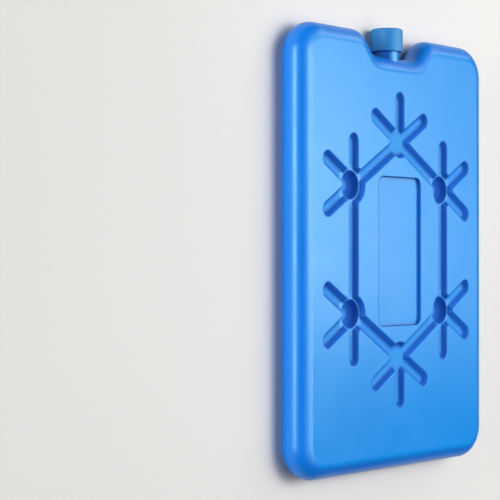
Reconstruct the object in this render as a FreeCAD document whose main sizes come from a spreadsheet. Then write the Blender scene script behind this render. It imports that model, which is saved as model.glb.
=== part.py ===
import FreeCAD, Part
import math
import os

import Sketcher

V = FreeCAD.Vector

# A flat, hard reusable ice pack, lying on its back with its patterned face up.
# X runs across the pack, Y along it towards the cap, Z up through its thickness.
# The origin is on the surface it lies on, midway between its two ends, cap included.

# Driving dimensions in millimetres and degrees
DIMENSIONS = [
    ("bodyLength", 170.0, "blown body, from foot to shoulders"),
    ("bodyWidth", 124.0, "blown body, side to side"),
    ("bodyThickness", 12.8, "blown body, face to face"),
    ("cornerRadius", 13.0, "outline radius at the four corners"),
    ("partingBand", 0.3, "flat strip left where the two mould halves meet"),
    ("notchDepth", 8.9, "cap notch, down from the shoulders"),
    ("notchFloor", 28.0, "cap notch, width of its floor"),
    ("notchSlope", 48.0, "cap notch, slope of its two sides"),
    ("shoulderRadius", 9.2, "outline radius at the mouth of the notch"),
    ("notchRadius", 6.8, "outline radius at the floor of the notch"),
    ("neckRadius", 4.8, "filling neck, outside"),
    ("capRadius", 6.3, "cap, outside"),
    ("capGap", 2.3, "neck left bare between the notch floor and the cap's rim"),
    ("capHeight", 8.9, "cap, rim to crown"),
    ("capCrown", 1.6, "cap, thickness of its closed end"),
    ("capEdge", 0.5, "cap, chamfer round its crown"),
    ("capClearance", 0.1, "between the neck and the bore of the cap"),
    ("patternShift", 0.6, "middle of the pattern above the middle of the body"),
    ("patternDepth", 2.0, "depth of the grooves and of the discs they meet in"),
    ("nodeSpread", 30.4, "side nodes, across from the middle"),
    ("nodeRise", 24.4, "side nodes, along from the middle"),
    ("armAngle", 30.0, "slope of the slanted grooves"),
    ("slantedArm", 18.7, "slanted arm, node to the centre of its round end"),
    ("uprightArm", 16.7, "upright arm, node to the centre of its round end"),
    ("grooveMouth", 3.05, "groove, half its width at the face"),
    ("grooveFloor", 1.5, "groove, half the width of its floor"),
    ("hubRadius", 6.1, "disc at the two end nodes, at the face"),
    ("ringRadius", 7.3, "disc at the four side nodes, at the face"),
    ("discDraft", 30.0, "how far the walls of the discs lean out"),
    ("dimpleRadius", 5.5, "tack-off dimple, where it opens in its disc"),
    ("dimpleWaist", 4.7, "tack-off dimple, radius where its wall turns in"),
    ("dimpleFloor", 2.8, "tack-off dimple, radius of its flat bottom"),
    ("dimpleWall", 2.2, "tack-off dimple, depth of its steep wall"),
    ("backDimple", 6.4, "plainer dimple in the back, radius where it opens"),
    ("dimpleWeb", 1.4, "joined walls left between two opposite dimples"),
    ("labelWidth", 28.6, "plain label recess, across"),
    ("labelHeight", 58.0, "plain label recess, along"),
    ("labelDepth", 1.2, "plain label recess, depth"),
    ("labelRadius", 3.0, "plain label recess, corners"),
    ("cutterRise", 1.5, "how far the cutters stand clear above the face"),
]

doc = FreeCAD.newDocument("IcePack")
sheet = doc.addObject("Spreadsheet::Sheet", "Dims")
for row, (alias, value, note) in enumerate(DIMENSIONS, 1):
    sheet.set(f"A{row}", note)
    sheet.set(f"B{row}", str(value))
    sheet.setAlias(f"B{row}", alias)
doc.recompute()

# Lengths that follow from the driving ones
HALF_THICK = "(Dims.bodyThickness / 2)"
HALF_LONG = "(Dims.bodyLength / 2)"
HALF_WIDE = "(Dims.bodyWidth / 2)"
FLOOR_HALF = "(Dims.notchFloor / 2)"
FLOOR_LINE = f"({HALF_LONG} - Dims.notchDepth)"
MOUTH_HALF = f"({FLOOR_HALF} + Dims.notchDepth / tan(Dims.notchSlope))"
CAP_RIM = f"({FLOOR_LINE} + Dims.capGap)"
CAP_TOP = f"({CAP_RIM} + Dims.capHeight)"
CAP_SEAT = f"({CAP_TOP} - Dims.capCrown)"
CAP_BORE = "(Dims.neckRadius + Dims.capClearance)"
FRAME_SHIFT = f"(({HALF_LONG} - {CAP_TOP}) / 2)"
HUB_RISE = "(Dims.nodeRise + Dims.nodeSpread * tan(Dims.armAngle))"
SIDE_LENGTH = "(Dims.nodeSpread / cos(Dims.armAngle))"
CLEAR_HEIGHT = "(Dims.bodyThickness + Dims.cutterRise)"

# The walls of a groove lean out from its floor and on past the face
PATTERN_FLOOR = "(Dims.bodyThickness - Dims.patternDepth)"
GROOVE_LEAN = "((Dims.grooveMouth - Dims.grooveFloor) / Dims.patternDepth)"
GROOVE_BRIM = f"(Dims.grooveMouth + Dims.cutterRise * {GROOVE_LEAN})"

# A dimple opens in the floor of its disc and stops half a web short of the middle
DIMPLE_BEND = f"({PATTERN_FLOOR} - Dims.dimpleWall)"
DIMPLE_END = f"({HALF_THICK} + Dims.dimpleWeb / 2)"
DIMPLE_LEAN = "((Dims.dimpleRadius - Dims.dimpleWaist) / Dims.dimpleWall)"
DIMPLE_BRIM = f"(Dims.dimpleRadius + (Dims.patternDepth + Dims.cutterRise) * {DIMPLE_LEAN})"
BACK_END = f"({HALF_THICK} - Dims.dimpleWeb / 2)"
BACK_LEAN = f"((Dims.backDimple - Dims.dimpleFloor) / {BACK_END})"
BACK_BRIM = f"(Dims.backDimple + Dims.cutterRise * {BACK_LEAN})"


def size(expression):
    """The value of an expression over the named dimensions."""
    return float(sheet.evalExpression(expression))


def bind(item, **expressions):
    """Ties properties of an object to expressions; a double underscore stands for a dot."""
    for name, expression in expressions.items():
        item.setExpression(name.replace("__", "."), expression)
    return item


def dimension(sketch, name, expression, kind, *where):
    """A named constraint that follows an expression."""
    index = sketch.addConstraint(Sketcher.Constraint(kind, *where, size(expression)))
    sketch.renameConstraint(index, name)
    sketch.setExpression("Constraints." + name, expression)


def place_point(sketch, name, across, along, geometry, point):
    """Dimensions one point of a sketch from the sketch's origin."""
    for axis, kind, expression in ((-2, "DistanceX", across), (-1, "DistanceY", along)):
        if expression == "0":
            sketch.addConstraint(Sketcher.Constraint("PointOnObject", geometry, point, axis))
        elif size(expression) > 0:
            dimension(sketch, name + kind[-1], expression, kind, -1, 1, geometry, point)
        else:
            dimension(sketch, name + kind[-1], f"-{expression}", kind, geometry, point, -1, 1)


def corner_arc(corner, inward, outward, radius):
    """The arc that rounds a corner, its two ends, and whether it turns to the left."""
    turn = math.atan2(inward.cross(outward).z, inward.dot(outward))
    reach = radius * math.tan(abs(turn) / 2)
    near, far = corner - inward * reach, corner + outward * reach
    centre = near + V(-inward.y, inward.x, 0) * math.copysign(radius, turn)
    first, last = (near, far) if turn > 0 else (far, near)
    angles = [math.atan2(point.y - centre.y, point.x - centre.x) for point in (first, last)]
    return Part.ArcOfCircle(Part.Circle(centre, V(0, 0, 1), radius), *angles), near, far, turn > 0


def draw_outline(sketch, corners):
    """Draws a closed outline of lines from corners given as (x, y, rounding or None)."""
    points = [V(size(x), size(y), 0) for x, y, rounding in corners]
    count = len(points)
    ahead = [(points[(i + 1) % count] - points[i]).normalize() for i in range(count)]
    starts, ends, arcs = list(points), list(points), {}
    for i, (x, y, rounding) in enumerate(corners):
        if rounding:
            arcs[i] = corner_arc(points[i], ahead[i - 1], ahead[i], size(rounding))
            ends[i], starts[i] = arcs[i][1], arcs[i][2]
    lines = []
    for i in range(count):
        line = Part.LineSegment(starts[i], ends[(i + 1) % count])
        lines.append(sketch.addGeometry(line, False))
    for i, (x, y, rounding) in enumerate(corners):
        before, after = lines[i - 1], lines[i]
        if not rounding:
            sketch.addConstraint(Sketcher.Constraint("Coincident", before, 2, after, 1))
            place_point(sketch, f"corner{i}", x, y, after, 1)
            continue
        arc, near, far, leftward = arcs[i]
        index = sketch.addGeometry(arc, False)
        near_end, far_end = (1, 2) if leftward else (2, 1)
        sketch.addConstraint(Sketcher.Constraint("Tangent", before, 2, index, near_end))
        sketch.addConstraint(Sketcher.Constraint("Tangent", index, far_end, after, 1))
        dimension(sketch, f"round{i}", rounding, "Radius", index)
        point = sketch.addGeometry(Part.Point(points[i]), True)
        place_point(sketch, f"corner{i}", x, y, point, 1)
        sketch.addConstraint(Sketcher.Constraint("PointOnObject", point, 1, before))
        sketch.addConstraint(Sketcher.Constraint("PointOnObject", point, 1, after))


def body_sketch(body, name, height, corners):
    """A sketch parallel to the pack's faces, at a height above its body's own XY plane."""
    sketch = body.newObject("Sketcher::SketchObject", name)
    plane = [item for item in body.Origin.OriginFeatures if item.Role == "XY_Plane"][0]
    sketch.AttachmentSupport = [(plane, "")]
    sketch.MapMode = "FlatFace"
    sketch.setExpression("AttachmentOffset.Base.z", height)
    draw_outline(sketch, corners)
    doc.recompute()
    return sketch


def add_pad(body, name, sketch, length):
    pad = body.newObject("PartDesign::Pad", name)
    pad.Profile = sketch
    pad.setExpression("Length", length)
    doc.recompute()
    return pad


def add_turned(body, name, sketch):
    """Turns a half profile all the way round the sketch's own upright axis."""
    turned = body.newObject("PartDesign::Revolution", name)
    turned.Profile = sketch
    turned.ReferenceAxis = (sketch, ["V_Axis"])
    turned.Angle = 360
    doc.recompute()
    return turned


def edges_at_height(shape, height):
    """Names of the edges that lie flat at one height."""
    return [f"Edge{i}" for i, edge in enumerate(shape.Edges, 1)
            if abs(edge.BoundBox.ZMin - height) < 1e-4 and abs(edge.BoundBox.ZMax - height) < 1e-4]


# Blown blank: the outline, rounded over to the parting line, and the neck in its notch
def make_blank():
    blank = doc.addObject("PartDesign::Body", "Blank")
    outline = body_sketch(blank, "BlankOutline", "0", [
        (f"-{HALF_WIDE}", f"-{HALF_LONG}", "Dims.cornerRadius"),
        (HALF_WIDE, f"-{HALF_LONG}", "Dims.cornerRadius"),
        (HALF_WIDE, HALF_LONG, "Dims.cornerRadius"),
        (MOUTH_HALF, HALF_LONG, "Dims.shoulderRadius"),
        (FLOOR_HALF, FLOOR_LINE, "Dims.notchRadius"),
        (f"-{FLOOR_HALF}", FLOOR_LINE, "Dims.notchRadius"),
        (f"-{MOUTH_HALF}", HALF_LONG, "Dims.shoulderRadius"),
        (f"-{HALF_WIDE}", HALF_LONG, "Dims.cornerRadius"),
    ])
    slab = add_pad(blank, "Slab", outline, "Dims.bodyThickness")
    rounded = blank.newObject("PartDesign::Fillet", "RoundedEdge")
    rims = edges_at_height(slab.Shape, 0) + edges_at_height(slab.Shape, size("Dims.bodyThickness"))
    rounded.Base = (slab, rims)
    rounded.setExpression("Radius", "(Dims.bodyThickness - Dims.partingBand) / 2")
    doc.recompute()
    root = f"({FLOOR_LINE} - Dims.bodyThickness)"
    neck = body_sketch(blank, "NeckProfile", HALF_THICK, [
        ("0", root, None),
        ("Dims.neckRadius", root, None),
        ("Dims.neckRadius", CAP_SEAT, None),
        ("0", CAP_SEAT, None),
    ])
    add_turned(blank, "Neck", neck)
    return blank


# Cap: a smooth closed cup pushed over the neck until its crown seats on the mouth
def make_cap():
    cap = doc.addObject("PartDesign::Body", "Cap")
    cap.Label = "cap"
    cap.setExpression("Placement.Base.y", FRAME_SHIFT)
    profile = body_sketch(cap, "CapProfile", HALF_THICK, [
        ("0", CAP_SEAT, None),
        (CAP_BORE, CAP_SEAT, None),
        (CAP_BORE, CAP_RIM, None),
        ("Dims.capRadius", CAP_RIM, None),
        ("Dims.capRadius", f"({CAP_TOP} - Dims.capEdge)", None),
        ("(Dims.capRadius - Dims.capEdge)", CAP_TOP, None),
        ("0", CAP_TOP, None),
    ])
    add_turned(cap, "CapShell", profile)
    return cap


def place(cutter, x, y, z):
    """Places a cutter by expressions, measured from the middle of the pattern."""
    return bind(cutter, Placement__Base__x=x, Placement__Base__y=f"{y} + Dims.patternShift", Placement__Base__z=z)


def add_cone(name, x, y, foot, brim, low, high):
    """An upright cutter from one radius and height to another."""
    cone = doc.addObject("Part::Cone", name)
    bind(cone, Radius1=foot, Radius2=brim, Height=f"{high} - {low}")
    return place(cone, x, y, low)


def add_disc(name, x, y, radius):
    """A round recess with leaning walls, where grooves meet."""
    lean = "tan(Dims.discDraft)"
    foot, brim = f"{radius} - Dims.patternDepth * {lean}", f"{radius} + Dims.cutterRise * {lean}"
    return add_cone(name, x, y, foot, brim, PATTERN_FLOOR, CLEAR_HEIGHT)


def add_dimple(name, x, y):
    """A tack-off: a bowl in the upper face, pressed down to meet a plainer one in the back."""
    return [add_cone(name + "Bowl", x, y, "Dims.dimpleFloor", "Dims.dimpleWaist", DIMPLE_END, DIMPLE_BEND),
            add_cone(name + "Wall", x, y, "Dims.dimpleWaist", DIMPLE_BRIM, DIMPLE_BEND, CLEAR_HEIGHT),
            add_cone(name + "Back", x, y, BACK_BRIM, "Dims.dimpleFloor", "-Dims.cutterRise", BACK_END)]


def add_run(name, x, y, angle, length):
    """A straight groove with leaning walls that leaves the middle of a node at an angle."""
    run = doc.addObject("Part::Wedge", name)
    bind(run, Xmin="0", Xmax=length, X2min="0", X2max=length, Ymin="0", Ymax=f"{CLEAR_HEIGHT} - {PATTERN_FLOOR}",
         Zmin="-Dims.grooveFloor", Zmax="Dims.grooveFloor", Z2min=f"-{GROOVE_BRIM}", Z2max=GROOVE_BRIM)
    bind(run, Placement__Rotation=f"create(<<rotation>>; {angle}; 0; 90)")
    return place(run, x, y, PATTERN_FLOOR)


def add_arm(name, x, y, angle, length):
    """A free arm of the pattern: its straight run and the cone that rounds its end."""
    across, along = f"{x} + {length} * cos({angle})", f"{y} + {length} * sin({angle})"
    end = add_cone(name + "End", across, along, "Dims.grooveFloor", GROOVE_BRIM, PATTERN_FLOOR, CLEAR_HEIGHT)
    return [add_run(name + "Run", x, y, angle, length), end]


def make_label():
    """The plain rounded rectangle sunk in the middle of the face."""
    half_wide, half_high = "(Dims.labelWidth / 2)", "(Dims.labelHeight / 2)"
    label = doc.addObject("PartDesign::Body", "LabelCutter")
    outline = body_sketch(label, "LabelOutline", "0", [
        (f"-{half_wide}", f"-{half_high}", "Dims.labelRadius"),
        (half_wide, f"-{half_high}", "Dims.labelRadius"),
        (half_wide, half_high, "Dims.labelRadius"),
        (f"-{half_wide}", half_high, "Dims.labelRadius"),
    ])
    add_pad(label, "LabelWell", outline, "Dims.labelDepth + Dims.cutterRise")
    return bind(label, Placement__Base__z="Dims.bodyThickness - Dims.labelDepth")


def make_relief():
    """Everything that is cut into the blank, joined into one cutter."""
    cutters = [make_label()]
    for along, up in (("Upper", 1), ("Lower", -1)):
        hub_y = f"{up} * {HUB_RISE}"
        cutters.append(add_disc(along + "Hub", "0", hub_y, "Dims.hubRadius"))
        cutters += add_arm(along + "HubUpright", "0", hub_y, f"({up * 90})", "Dims.uprightArm")
        for across, out in (("Left", -1), ("Right", 1)):
            name = along + across
            x, y = f"{out} * Dims.nodeSpread", f"{up} * Dims.nodeRise"
            level = "0" if out > 0 else "180"
            rising = f"({level} + {out * up} * Dims.armAngle)"
            falling = f"({level} - {out * up} * Dims.armAngle)"
            cutters.append(add_disc(name + "Ring", x, y, "Dims.ringRadius"))
            cutters += add_dimple(name + "Dimple", x, y)
            cutters += add_arm(name + "Upright", x, y, f"({up * 90})", "Dims.uprightArm")
            cutters += add_arm(name + "Rising", x, y, rising, "Dims.slantedArm")
            cutters += add_arm(name + "Falling", x, y, falling, "Dims.slantedArm")
            cutters += add_arm(name + "HubArm", "0", hub_y, rising, "Dims.slantedArm")
            cutters.append(add_run(name + "Side", "0", hub_y, falling, SIDE_LENGTH))
    for across, out in (("Left", -1), ("Right", 1)):
        low_x, low_y = f"{out} * Dims.nodeSpread", "-Dims.nodeRise"
        cutters.append(add_run(across + "Rail", low_x, low_y, "(90)", "2 * Dims.nodeRise"))
    relief = doc.addObject("Part::MultiFuse", "Relief")
    relief.Shapes = cutters
    relief.Refine = True
    return relief


def make_body(blank, relief):
    """The blank with its relief: one sealed piece."""
    body = doc.addObject("Part::Cut", "PackBody")
    body.Label = "body"
    body.Base = blank
    body.Tool = relief
    body.setExpression("Placement.Base.y", FRAME_SHIFT)
    return body


def check_and_write(parts):
    """Stops on anything failed or broken, then writes each piece."""
    doc.recompute()
    for item in doc.Objects:
        if "Invalid" in item.State or "Error" in item.State:
            raise RuntimeError(f"{item.Name} failed: {item.State}")
    for part in parts:
        if part.Shape.isNull() or not part.Shape.isValid() or len(part.Shape.Solids) != 1:
            raise RuntimeError(f"{part.Label} is not one sound solid")
    os.makedirs("parts", exist_ok=True)
    for part in parts:
        part.Shape.exportStep(f"parts/{part.Label}.step")
        print(part.Label, round(part.Shape.Volume / 1000, 2), "cm3")


check_and_write([make_body(make_blank(), make_relief()), make_cap()])
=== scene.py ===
import math

import bpy
from mathutils import Matrix, Vector

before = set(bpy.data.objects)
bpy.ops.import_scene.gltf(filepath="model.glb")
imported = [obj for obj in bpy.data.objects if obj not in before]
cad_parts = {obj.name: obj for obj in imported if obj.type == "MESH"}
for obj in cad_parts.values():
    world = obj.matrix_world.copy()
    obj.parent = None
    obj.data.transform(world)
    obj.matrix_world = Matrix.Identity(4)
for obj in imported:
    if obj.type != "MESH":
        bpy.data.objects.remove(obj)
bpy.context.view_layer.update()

# Colours of the shell and its cap, as linear values: their own colour where they lie level, painted shade
# where they lean, and darker painted shade in corners
SHELL_BLUE = (0.0, 0.250, 0.76, 1.0)
SHELL_LEANING_SHADE = (0.0, 0.118, 0.60, 1.0)
SHELL_CORNER_SHADE = (0.0, 0.055, 0.36, 1.0)
CAP_BLUE = (0.028, 0.205, 0.50, 1.0)
CAP_LEANING_SHADE = (0.0, 0.165, 0.48, 1.0)
CAP_CORNER_SHADE = (0.0, 0.080, 0.28, 1.0)

# The upward share of the normal up to which a surface leans, and from which it lies level
LEANING = 0.88
LEVEL = 0.995

# The least share of the level tone that the outer edges show, so that the shade painted on them is lighter,
# and how far clouds shift the share anywhere
EDGE_UNSHADED_SHARE = 0.35
CLOUD_SPREAD = 0.08

# The painted shade in corners: how near walls close a corner off, in metres, and the open shares of its sky
# at which the painted shade is darkest and ends
CORNER_REACH = 0.0025
CORNER_SHUT = 0.42
CORNER_OPEN = 0.93
CORNER_SAMPLES = 8

# How rough the shell and its cap are, how uneven that is, and how much duller the relief's floors, its walls
# and the outer edges of the shell are; the cap is the same all over
SHELL_ROUGHNESS = 0.24
CAP_ROUGHNESS = 0.55
GLOSS_SPREAD = 0.03
FLOOR_DULLNESS = 0.35
WALL_DULLNESS = 0.50
EDGE_DULLNESS = 0.14
EVENLY_DULL = (0.0, 0.0, 0.0)

# How polyethylene refracts, and the strength and tint of its sheen
PLASTIC_IOR = 1.5
SHEEN_LEVEL = 0.8
SHEEN_TINT = (0.50, 0.94, 1.0, 1.0)

# How far the shading softens rims and rounds the floors of the grooves, in metres
RIM_RADIUS = 0.0007
FLOOR_ROUND = 0.0035
CAP_RIM_RADIUS = 0.0003
ROUNDING_SAMPLES = 8

# Noises, as features per metre and octaves: clouds in the tone, patches in the gloss, the surface's swell and
# its orange peel, and the paper of the studio floor; and the range that their values fill
CLOUD_NOISE = (28.0, 3.0)
GLOSS_NOISE = (75.0, 4.0)
SWELL_NOISE = (40.0, 1.0)
PEEL_NOISE = (700.0, 1.0)
PAPER_NOISE = (3.0, 2.0)
NOISE_LOW = 0.3
NOISE_HIGH = 0.7

# How strongly the swell and the peel tilt the surface, and their heights in metres
SWELL_STRENGTH = 0.25
SWELL_HEIGHT = 0.0005
PEEL_STRENGTH = 0.08
PEEL_HEIGHT = 0.00006

# The shell mirrors itself about its middle; the sizes below are in metres from there, the first two being the
# heights of the groove floors and of where the plain rims begin above them
SHELL_MIDDLE = (0.0, -0.00055, 0.0064)
GROOVE_FLOOR = 0.0044
RIM_FOOT = 0.0051

# How far the relief reaches, and the margin over which its reach and that of a dimple's disc fade out
RELIEF_HALF_WIDE = 0.053
RELIEF_HALF_LONG = 0.070
FADE_MARGIN = 0.0015

# The disc around a dimple, and the heights where the bowl of the dimple ends and its rim begins; the last
# factor leaves the height out of a place
DIMPLE_CENTRE = (0.0304, 0.0244, 0.0)
DISC_RADIUS = 0.0070
BOWL_TOP = 0.0030
RIM_BOTTOM = 0.0042
WITHOUT_HEIGHT = (1.0, 1.0, 0.0)

# The studio floor: its width in metres, its two tones as linear values, and its finish
FLOOR_WIDTH = 8.0
FLOOR_PALE = (0.77, 0.76, 0.74, 1.0)
FLOOR_SHADE = (0.72, 0.71, 0.69, 1.0)
FLOOR_ROUGHNESS = 0.9
FLOOR_SHEEN = 0.2

# How far off the lamps stand, in metres, and the roll, in degrees, that makes the lower edges of some panels
# rise to the right
LAMP_DISTANCE = 1.2
LOWER_EDGE_ROLL = -16.0

# The dim light of the room around the lamps
ROOM_TINT = (0.94, 0.97, 1.0, 1.0)
ROOM_STRENGTH = 0.04

# The photograph's viewpoint, in metres in the part's own frame
CAMERA_AT = Vector((-0.5411, -0.0045, 0.3873))
CAMERA_AHEAD = Vector((0.76816, 0.00593, -0.64023))
CAMERA_UP = Vector((-0.00456, 0.99998, 0.00380))
LENS_MM = 120.7
SENSOR_MM = 36.0


def add_node(tree, kind, **settings):
    """A node of one kind, its sockets and properties set by name, an underscore standing for a space."""
    node = tree.nodes.new(kind)
    for name, value in settings.items():
        key = name.replace("_", " ")
        if key in node.inputs:
            node.inputs[key].default_value = value
        else:
            setattr(node, name, value)
    return node


def new_material(name):
    """A material with an empty tree but for its output and one Principled shader."""
    material = bpy.data.materials.new(name)
    material.use_nodes = True
    tree = material.node_tree
    tree.nodes.clear()
    output = tree.nodes.new("ShaderNodeOutputMaterial")
    shader = tree.nodes.new("ShaderNodeBsdfPrincipled")
    tree.links.new(shader.outputs["BSDF"], output.inputs["Surface"])
    return material, tree, shader


def spread(tree, value, low, high, start, end):
    """Maps a value from the range between start and end onto the one from low to high, and keeps it there."""
    node = add_node(tree, "ShaderNodeMapRange", From_Min=start, From_Max=end, To_Min=low, To_Max=high)
    tree.links.new(value, node.inputs["Value"])
    return node.outputs["Result"]


def fade_in(tree, value, start, end):
    """A share that grows from 0 to 1 as a value goes from start to end."""
    return spread(tree, value, 0.0, 1.0, start, end)


def fade_out(tree, value, start, end):
    """A share that falls from 1 to 0 as a value goes from start to end."""
    return spread(tree, value, 1.0, 0.0, start, end)


def between(tree, share, at_none, at_full):
    """A number that goes from one value to another as a share grows from 0 to 1."""
    return spread(tree, share, at_none, at_full, 0.0, 1.0)


def noise(tree, place, kind):
    """One kind of noise over the object's own coordinates."""
    scale, detail = kind
    node = add_node(tree, "ShaderNodeTexNoise", Scale=scale, Detail=detail)
    tree.links.new(place, node.inputs["Vector"])
    return node.outputs["Fac"]


def uneven(tree, place, kind, low, high):
    """A number that wanders between two values over the object, by one kind of noise."""
    return spread(tree, noise(tree, place, kind), low, high, NOISE_LOW, NOISE_HIGH)


def two_tone(tree, factor, first, second):
    """Blends two colours by a factor; the first may be another node's."""
    mix = tree.nodes.new("ShaderNodeMix")
    mix.data_type = "RGBA"
    if isinstance(first, bpy.types.NodeSocket):
        tree.links.new(first, mix.inputs["A"])
    else:
        mix.inputs["A"].default_value = first
    mix.inputs["B"].default_value = second
    tree.links.new(factor, mix.inputs["Factor"])
    return mix.outputs["Result"]


def bump(tree, pattern, strength, height, under):
    """A normal that follows a pattern of some height, laid on the normal of another node."""
    node = add_node(tree, "ShaderNodeBump", Strength=strength, Distance=height)
    tree.links.new(pattern, node.inputs["Height"])
    tree.links.new(under, node.inputs["Normal"])
    return node.outputs["Normal"]


def axis(tree, vector, name):
    """One part of a vector."""
    split = tree.nodes.new("ShaderNodeSeparateXYZ")
    tree.links.new(vector, split.inputs["Vector"])
    return split.outputs[name]


def maths(tree, operation, *values):
    """One step of arithmetic on sockets, kept between 0 and 1."""
    node = add_node(tree, "ShaderNodeMath", operation=operation, use_clamp=True)
    for socket, value in zip(node.inputs, values):
        tree.links.new(value, socket)
    return node.outputs["Value"]


def vector_maths(tree, operation, vector, constant=None):
    """One step of arithmetic on a vector, with a constant one where the step takes two."""
    node = add_node(tree, "ShaderNodeVectorMath", operation=operation)
    tree.links.new(vector, node.inputs[0])
    if constant:
        node.inputs[1].default_value = constant
    return node.outputs["Value" if operation == "LENGTH" else "Vector"]


def sunk_zones(tree, place):
    """Whether a point is in the relief's reach, and how far it is sunk in it, the dimples' rims left out."""
    folded = vector_maths(tree, "ABSOLUTE", vector_maths(tree, "SUBTRACT", place, SHELL_MIDDLE))
    height = axis(tree, folded, "Z")
    across = fade_out(tree, axis(tree, folded, "X"), RELIEF_HALF_WIDE - FADE_MARGIN, RELIEF_HALF_WIDE)
    along = fade_out(tree, axis(tree, folded, "Y"), RELIEF_HALF_LONG - FADE_MARGIN, RELIEF_HALF_LONG)
    relief = maths(tree, "MULTIPLY", across, along)
    sunk = maths(tree, "MULTIPLY", fade_out(tree, height, GROOVE_FLOOR, RIM_FOOT), relief)

    from_dimple = vector_maths(tree, "SUBTRACT", folded, DIMPLE_CENTRE)
    offset = vector_maths(tree, "MULTIPLY", from_dimple, WITHOUT_HEIGHT)
    off_disc = fade_in(tree, vector_maths(tree, "LENGTH", offset), DISC_RADIUS, DISC_RADIUS + FADE_MARGIN)
    in_bowl = fade_out(tree, height, BOWL_TOP, RIM_BOTTOM)
    return relief, maths(tree, "MULTIPLY", sunk, maths(tree, "MAXIMUM", off_disc, in_bowl))


def level_share(tree, normal):
    """From 0 where a surface leans to 1 where it lies level, on either side of the pack."""
    upward = axis(tree, vector_maths(tree, "ABSOLUTE", normal), "Z")
    return fade_in(tree, upward, LEANING, LEVEL)


def corner_shade_share(tree):
    """From 0 in the open to 1 in the corners, where the piece's own walls close off the sky; it sets how much
    shade is painted into the corners.
    """
    sky = add_node(tree, "ShaderNodeAmbientOcclusion", Distance=CORNER_REACH,
                   samples=CORNER_SAMPLES, only_local=True)
    return fade_out(tree, sky.outputs["AO"], CORNER_SHUT, CORNER_OPEN)


def colour_with_painted_shade(tree, place, level, relief, tone_and_shades):
    """A cloudy colour, with shade painted in where the surface leans, lighter painted shade on the outer
    edges, and the darkest painted shade in corners.
    """
    level_tone, leaning_shade_colour, corner_shade_colour = tone_and_shades
    cloud = uneven(tree, place, CLOUD_NOISE, -CLOUD_SPREAD, CLOUD_SPREAD)
    outer = between(tree, relief, EDGE_UNSHADED_SHARE, 0.0)
    share = maths(tree, "ADD", maths(tree, "MAXIMUM", level, outer), cloud)
    # Painted shade: the leaning colour where the surface leans and the corner colour in the corners
    return two_tone(tree, corner_shade_share(tree), two_tone(tree, share, leaning_shade_colour, level_tone), corner_shade_colour)


def plastic_roughness(tree, place, level, relief, sunk, roughness, dullness):
    """A patchy roughness, higher on the floors and the walls of the relief and on the outer edges."""
    floors, walls, edges = dullness
    patches = uneven(tree, place, GLOSS_NOISE, roughness - GLOSS_SPREAD, roughness + GLOSS_SPREAD)
    leaning = fade_out(tree, level, 0.0, 1.0)
    off_level = maths(tree, "MULTIPLY", leaning, between(tree, relief, edges, walls))
    dull = maths(tree, "MAXIMUM", between(tree, sunk, 0.0, floors), off_level)
    return maths(tree, "ADD", patches, dull)


def plastic_normal(tree, place, softened):
    """A slow swell and a fine orange peel, laid on the softened surface."""
    swell = bump(tree, noise(tree, place, SWELL_NOISE), SWELL_STRENGTH, SWELL_HEIGHT, softened)
    return bump(tree, noise(tree, place, PEEL_NOISE), PEEL_STRENGTH, PEEL_HEIGHT, swell)


def moulded_plastic(name, tone_and_shades, rim, floor_round, roughness, dullness):
    """Smooth polyethylene with softened rims, dulled by how steep and how deep it lies, with shade painted
    into its colour where it leans and in corners.
    """
    material, tree, shader = new_material(name)
    surface = tree.nodes.new("ShaderNodeTexCoord")
    place = surface.outputs["Object"]
    relief, sunk = sunk_zones(tree, place)

    rounding = add_node(tree, "ShaderNodeBevel", samples=ROUNDING_SAMPLES)
    tree.links.new(between(tree, sunk, rim, floor_round), rounding.inputs["Radius"])
    softened = rounding.outputs["Normal"]
    level = maths(tree, "MULTIPLY", level_share(tree, surface.outputs["Normal"]), level_share(tree, softened))

    # The colour carries shade painted where the surface leans and in corners
    colour = colour_with_painted_shade(tree, place, level, relief, tone_and_shades)
    gloss = plastic_roughness(tree, place, level, relief, sunk, roughness, dullness)
    tree.links.new(colour, shader.inputs["Base Color"])
    tree.links.new(gloss, shader.inputs["Roughness"])
    tree.links.new(plastic_normal(tree, place, softened), shader.inputs["Normal"])
    shader.inputs["IOR"].default_value = PLASTIC_IOR
    shader.inputs["Specular IOR Level"].default_value = SHEEN_LEVEL
    shader.inputs["Specular Tint"].default_value = SHEEN_TINT
    return material


def dress(node, material):
    """Gives a piece of the frame one finish."""
    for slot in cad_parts[node].material_slots:
        slot.material = material


def add_floor():
    """A wide pale sheet under the pack, faintly uneven in tone."""
    bpy.ops.mesh.primitive_plane_add(size=FLOOR_WIDTH, location=(0, 0, 0))
    floor = bpy.context.object
    floor.name = "studio_floor"
    material, tree, shader = new_material("pale_paper")
    place = tree.nodes.new("ShaderNodeTexCoord").outputs["Object"]
    shade = uneven(tree, place, PAPER_NOISE, 0.0, 1.0)
    tree.links.new(two_tone(tree, shade, FLOOR_PALE, FLOOR_SHADE), shader.inputs["Base Color"])
    shader.inputs["Roughness"].default_value = FLOOR_ROUGHNESS
    shader.inputs["Specular IOR Level"].default_value = FLOOR_SHEEN
    floor.data.materials.append(material)


def aimed(at, ahead, up):
    """The placement of something that looks ahead from a point with one side up."""
    back = -Vector(ahead).normalized()
    right = Vector(up).cross(back).normalized()
    turn = Matrix((right, back.cross(right), back)).transposed().to_4x4()
    return Matrix.Translation(at) @ turn


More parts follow.
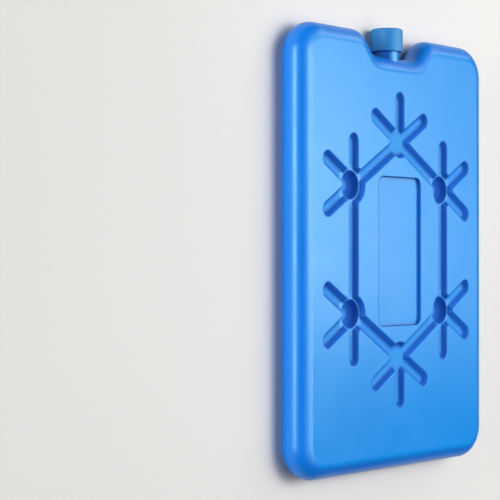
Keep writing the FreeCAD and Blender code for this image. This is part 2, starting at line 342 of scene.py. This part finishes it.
def add_lamp(name, tilts, lifts, radiance, roll=0.0):
    """A soft rectangular lamp that fills a range of tilts right of upright and one of lifts along the pack.

    Both are in degrees. Its power in watts is its radiance times pi and its area.
    """
    tilt, lift = (math.radians(sum(span) / 2) for span in (tilts, lifts))
    half_wide, half_high = (math.radians((span[1] - span[0]) / 2) for span in (tilts, lifts))
    data = bpy.data.lights.new(name, "AREA")
    data.shape = "RECTANGLE"
    data.size = 2 * LAMP_DISTANCE * math.tan(half_wide) * math.cos(lift)
    data.size_y = 2 * LAMP_DISTANCE * math.tan(half_high)
    data.energy = radiance * math.pi * data.size * data.size_y
    lamp = bpy.data.objects.new(name, data)
    away = Vector((math.sin(tilt) * math.cos(lift), math.sin(lift), math.cos(tilt) * math.cos(lift)))
    side = math.radians(roll)
    lamp.matrix_world = aimed(away * LAMP_DISTANCE, -away, (math.sin(side), math.cos(side), 0))
    bpy.context.collection.objects.link(lamp)


def add_lamps():
    """Two large soft windows overhead, panels for the sheen, and a low strip along the left edge."""
    add_lamp("main_window", tilts=(-12, 35), lifts=(-30, 30), radiance=1.4)
    add_lamp("upper_window", tilts=(-12, 35), lifts=(-5, 40), radiance=1.1)
    add_lamp("steep_panel", tilts=(5, 26), lifts=(-5, 20), radiance=6.0, roll=LOWER_EDGE_ROLL)
    add_lamp("sheen_panel", tilts=(33, 51), lifts=(-5, 15), radiance=4.7, roll=LOWER_EDGE_ROLL)
    add_lamp("foot_panel", tilts=(28, 46), lifts=(-15, -4), radiance=2.2, roll=LOWER_EDGE_ROLL)
    add_lamp("mirror_panel", tilts=(49, 60), lifts=(-5, 12), radiance=1.7, roll=LOWER_EDGE_ROLL)
    add_lamp("crest_panel", tilts=(44, 68), lifts=(20, 45), radiance=2.9)
    add_lamp("left_strip", tilts=(-90, -80), lifts=(-10, 28), radiance=24.5)


def add_room():
    """The dim light that reaches the pack from all around."""
    world = bpy.data.worlds.new("dim_room")
    world.use_nodes = True
    background = world.node_tree.nodes["Background"]
    background.inputs["Color"].default_value = ROOM_TINT
    background.inputs["Strength"].default_value = ROOM_STRENGTH
    bpy.context.scene.world = world


def add_camera():
    """The photograph's camera: a long lens that looks down on the pack from its left."""
    data = bpy.data.cameras.new("photo_camera")
    data.sensor_width = SENSOR_MM
    data.lens = LENS_MM
    camera = bpy.data.objects.new("photo_camera", data)
    camera.matrix_world = aimed(CAMERA_AT, CAMERA_AHEAD, CAMERA_UP)
    bpy.context.collection.objects.link(camera)
    bpy.context.scene.camera = camera


# The pack and its cap; the second and third colours of each are painted shade, where it leans and in corners
shell = moulded_plastic("shell_plastic", (SHELL_BLUE, SHELL_LEANING_SHADE, SHELL_CORNER_SHADE), RIM_RADIUS, FLOOR_ROUND,
                        SHELL_ROUGHNESS, (FLOOR_DULLNESS, WALL_DULLNESS, EDGE_DULLNESS))
closure = moulded_plastic("cap_plastic", (CAP_BLUE, CAP_LEANING_SHADE, CAP_CORNER_SHADE), CAP_RIM_RADIUS, CAP_RIM_RADIUS,
                          CAP_ROUGHNESS, EVENLY_DULL)
dress("body", shell)
dress("cap", closure)

# The studio
add_floor()
add_lamps()
add_room()
add_camera()
bpy.context.scene.view_settings.view_transform = "Standard"
